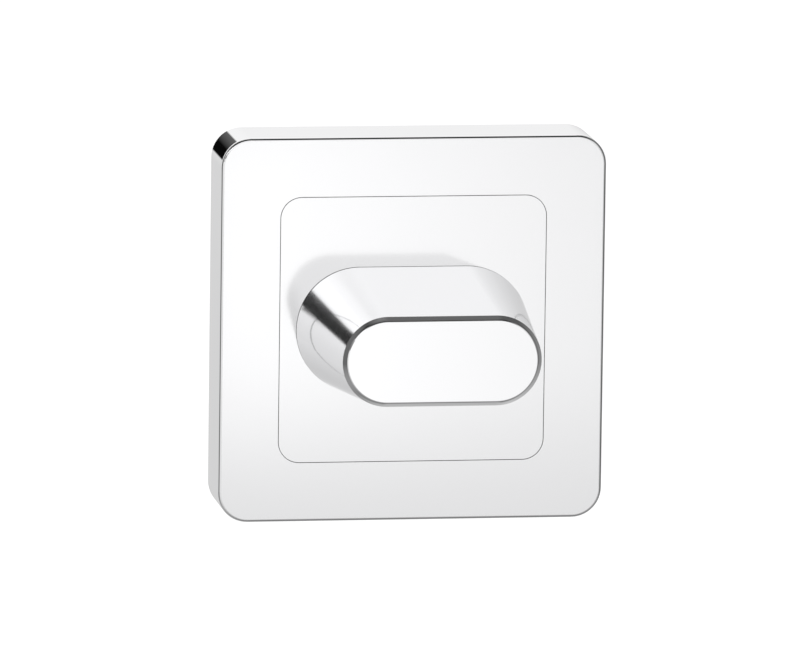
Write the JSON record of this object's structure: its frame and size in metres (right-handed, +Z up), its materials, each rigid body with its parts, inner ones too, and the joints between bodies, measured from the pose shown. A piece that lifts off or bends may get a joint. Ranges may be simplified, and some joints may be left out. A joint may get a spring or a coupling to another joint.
{
  "type": "bathroom thumb turn lock",
  "caption": "Chromed square rose with a flush square panel and a tapered round-ended thumb turn on a square spindle, which locks a bathroom door by a quarter turn.",
  "frame": {"origin": "centre of the rear face that lies on the door, on the spindle's axis", "axes": "+Z up, +Y into the door along the spindle, the thumb turn stands out towards -Y, +X to the right seen from the front"},
  "size_m": [0.052, 0.084, 0.052],
  "materials": {
    "chromed_zinc": "polished chrome plate on die-cast zinc",
    "cast_zinc": "bare die-cast zinc, dull grey",
    "plated_steel": "bright zinc plate on drawn steel",
    "plated_screw": "bright zinc plate",
    "spring_steel": "blackened spring steel",
    "acetal": "moulded white acetal"
  },
  "bodies": {
    "rose": {"rose_cover": "chromed_zinc", "insert_panel": "chromed_zinc", "panel_screws": "plated_screw", "bearing_bush": "acetal", "sub_rose": "cast_zinc", "wood_screws": "plated_screw", "cover_set_screw": "spring_steel"},
    "turn": {"thumb_turn": "chromed_zinc", "thrust_washer": "acetal", "spring_washer": "spring_steel", "stop_washer": "plated_steel", "retaining_ring": "spring_steel", "spindle": "plated_steel", "spindle_pin": "spring_steel"}
  },
  "joints": [
    {"name": "turn_hinge", "type": "hinge", "parent": "rose", "child": "turn", "pos_m": [0, 0, 0], "axis": [0, 1, 0], "range_deg": [0, 90]}
  ]
}
